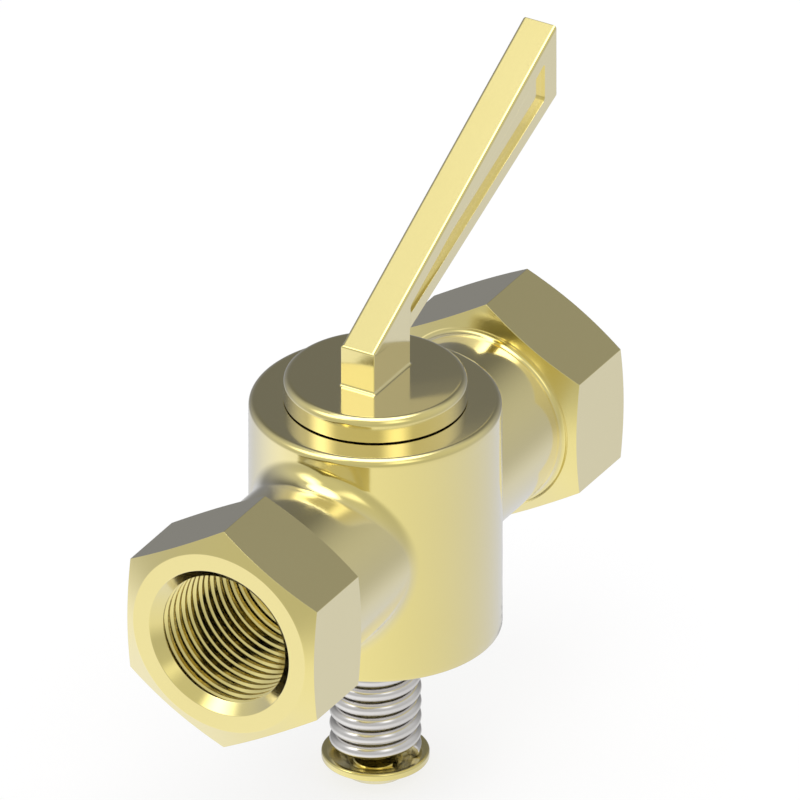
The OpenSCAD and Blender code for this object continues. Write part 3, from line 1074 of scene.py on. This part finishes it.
def floorMaterial(v):
    # white to the camera and in reflections, with the object's soft shadow still on it
    material = bpy.data.materials.new("paleFloor")
    material.use_nodes = True
    tree = material.node_tree
    tree.nodes.clear()
    out = addNode(tree, "ShaderNodeOutputMaterial", 600, 0)
    lit = addNode(tree, "ShaderNodeBsdfDiffuse", 0, 100)
    lit.inputs["Color"].default_value = (*v["floorColour"], 1)
    glow = addNode(tree, "ShaderNodeEmission", 0, -100)
    path = addNode(tree, "ShaderNodeLightPath", -400, 0)
    direct, mirrored = path.outputs["Is Camera Ray"], path.outputs["Is Glossy Ray"]
    seen = mathNode(tree, "ADD", -200, 100, direct, mirrored, clamp=True)
    seen = mathNode(tree, "ADD", -100, 100, seen, path.outputs["Is Transmission Ray"], clamp=True)
    share = mathNode(tree, "MULTIPLY", 0, 250, seen, v["floorGlow"])
    both = addNode(tree, "ShaderNodeMixShader", 300, 0)
    tree.links.new(share, both.inputs[0])
    tree.links.new(lit.outputs[0], both.inputs[1])
    tree.links.new(glow.outputs[0], both.inputs[2])
    tree.links.new(both.outputs[0], out.inputs[0])
    return material


def buildFloor(v):
    mesh = bpy.data.meshes.new("studioFloor")
    s = v["floorSize"]
    c = valveCentreX / 1000
    corners = [(c + x * s, y * s, v["floorZ"]) for x, y in ((-1, -1), (1, -1), (1, 1), (-1, 1))]
    mesh.from_pydata(corners, [], [(0, 1, 2, 3)])
    floor = bpy.data.objects.new("studioFloor", mesh)
    # the metal mirrors the tent's pale floor in its place
    floor.visible_glossy = False
    bpy.context.scene.collection.objects.link(floor)
    mesh.materials.append(floorMaterial(v))


def turnFrom(azimuth, centre):
    # how many degrees lie between two azimuths, the short way round
    return abs((azimuth - centre + 180) % 360 - 180)


def floorShade(azimuth, elevation, v):
    # the pale floor is brightest towards the left box, and dimmer on the card's side
    turn = azimuth % 360
    if turn > v["floorDimFrom"][0]:
        shade = mix(v["floorPale"], v["floorDim"], smoothStep(*v["floorDimFrom"], turn))
    else:
        shade = mix(v["floorDim"], v["floorPale"], smoothStep(*v["floorPaleFrom"], turn))
    # towards straight below the floor takes one even shade, a painted shadow under the valve
    return mix(v["floorUnderShadow"], shade, smoothStep(*v["floorUnderShadowEdge"], elevation))


def tentShade(azimuth, elevation, v):
    # how bright the tent is towards a direction: cloth wall, dark card, floor, top lamp and two boxes
    wall = mix(v["wallLow"], v["wallHigh"], smoothStep(*v["wallRise"], elevation))
    card = 1 - smoothStep(*v["cardEdge"], turnFrom(azimuth, v["cardAzimuth"]))
    card *= mix(v["cardFoot"], 1, smoothStep(*v["cardRise"], elevation))
    card *= 1 - smoothStep(*v["cardTop"], elevation)
    shade = mix(wall, v["cardShade"], card)
    shade = mix(floorShade(azimuth, elevation, v), shade, smoothStep(*v["horizon"], elevation))
    high = smoothStep(*v["leftBoxRise"], elevation)
    full, end = v["leftBoxEdge"]
    end += v["leftBoxWiden"] * high
    left = 1 - smoothStep(full, end, turnFrom(azimuth, v["leftBoxAzimuth"] + v["leftBoxLean"] * high))
    shade += v["leftBox"] * mix(1, v["leftBoxHigh"], high) * left * smoothStep(*v["leftBoxFoot"], elevation)
    right = 1 - smoothStep(*v["rightBoxEdge"], turnFrom(azimuth, v["rightBoxAzimuth"]))
    right *= smoothStep(*v["rightBoxFoot"], elevation)
    right *= mix(1, v["rightBoxTopShare"], smoothStep(*v["rightBoxTop"], elevation))
    shade += v["rightBox"] * right
    return mix(shade, v["topLamp"], smoothStep(*v["topLampEdge"], elevation))


def buildTent(v):
    # a light tent far round the valve that only the metal's mirroring sees
    columns, rows = v["tentColumns"], v["tentRows"]
    points, faces, shades = [], [], []
    for i in range(columns):
        azimuth = 360 * i / columns - 180
        for j in range(rows + 1):
            elevation = mix(-v["tentPole"], v["tentPole"], j / rows)
            level = v["tentR"] * cosDeg(elevation)
            points.append((valveCentreX / 1000 + level * cosDeg(azimuth), level * sinDeg(azimuth),
                           v["tentR"] * sinDeg(elevation)))
            shades.append(tentShade(azimuth, elevation, v))
    for i in range(columns):
        for j in range(rows):
            a, b = i * (rows + 1) + j, (i + 1) % columns * (rows + 1) + j
            faces.append((a, a + 1, b + 1, b))
    mesh = bpy.data.meshes.new("lightTent")
    mesh.from_pydata(points, [], faces)
    layer = mesh.attributes.new("tentShade", "FLOAT", "POINT")
    layer.data.foreach_set("value", shades)
    tent = bpy.data.objects.new("lightTent", mesh)
    bpy.context.scene.collection.objects.link(tent)
    material = bpy.data.materials.new("tentCloth")
    material.use_nodes = True
    tree = material.node_tree
    tree.nodes.clear()
    out = addNode(tree, "ShaderNodeOutputMaterial", 300, 0)
    glow = addNode(tree, "ShaderNodeEmission", 0, 0)
    shade = addNode(tree, "ShaderNodeAttribute", -300, 0, attribute_name="tentShade")
    tree.links.new(shade.outputs["Fac"], glow.inputs["Color"])
    tree.links.new(glow.outputs[0], out.inputs[0])
    mesh.materials.append(material)
    tent.visible_camera = False
    tent.visible_diffuse = False
    tent.visible_shadow = False


def buildSky(v):
    world = bpy.data.worlds.new("paleStudio")
    world.use_nodes = True
    back = world.node_tree.nodes["Background"]
    back.inputs["Color"].default_value = (*v["skyColour"], 1)
    back.inputs["Strength"].default_value = 1.0
    bpy.context.scene.world = world


def buildSoftbox(v):
    # it lights the floor, and the metal doesn't mirror it
    light = bpy.data.lights.new("overheadSoftbox", "AREA")
    light.shape = "RECTANGLE"
    light.size, light.size_y = v["sizeX"], v["sizeY"]
    light.energy = v["radiance"] * math.pi * v["sizeX"] * v["sizeY"]
    box = bpy.data.objects.new("overheadSoftbox", light)
    bpy.context.scene.collection.objects.link(box)
    way = Vector(v["towards"]).normalized()
    box.location = Vector((valveCentreX / 1000, 0, 0)) + way * v["distance"]
    box.rotation_mode = "QUATERNION"
    box.rotation_quaternion = way.to_track_quat("Z", "Y")
    box.visible_camera = False
    box.visible_glossy = False


buildFloor(studio)
buildTent(studio)
buildSky(studio)
buildSoftbox(overheadBox)
print("studio built")


# camera

camera = {
    "back": (-0.75, -0.4330127, 0.5),
    "right": (0.5, -0.8660254, 0.0),
    "up": (0.4330127, 0.25, 0.8660254),
    "pixelsPerMetre": 6160.0,
    "valveAt": (375.5, 508.0),
    "frame": 800.0,
    "distance": 0.6,
    "clip": (0.01, 10),
}


def buildCamera(v):
    data = bpy.data.cameras.new("photoCamera")
    data.type = "ORTHO"
    data.ortho_scale = v["frame"] / v["pixelsPerMetre"]
    data.clip_start, data.clip_end = v["clip"]
    view = bpy.data.objects.new("photoCamera", data)
    bpy.context.scene.collection.objects.link(view)
    right, up, back = Vector(v["right"]), Vector(v["up"]), Vector(v["back"])
    across = (v["frame"] / 2 - v["valveAt"][0]) / v["pixelsPerMetre"]
    rise = (v["valveAt"][1] - v["frame"] / 2) / v["pixelsPerMetre"]
    target = Vector((valveCentreX / 1000, 0, 0)) + right * across + up * rise
    view.location = target + back * v["distance"]
    view.rotation_mode = "QUATERNION"
    view.rotation_quaternion = (-back).to_track_quat("-Z", "Y")
    bpy.context.scene.camera = view


buildCamera(camera)
bpy.context.scene.view_settings.view_transform = "Standard"
print("camera set")

bpy.context.view_layer.update()
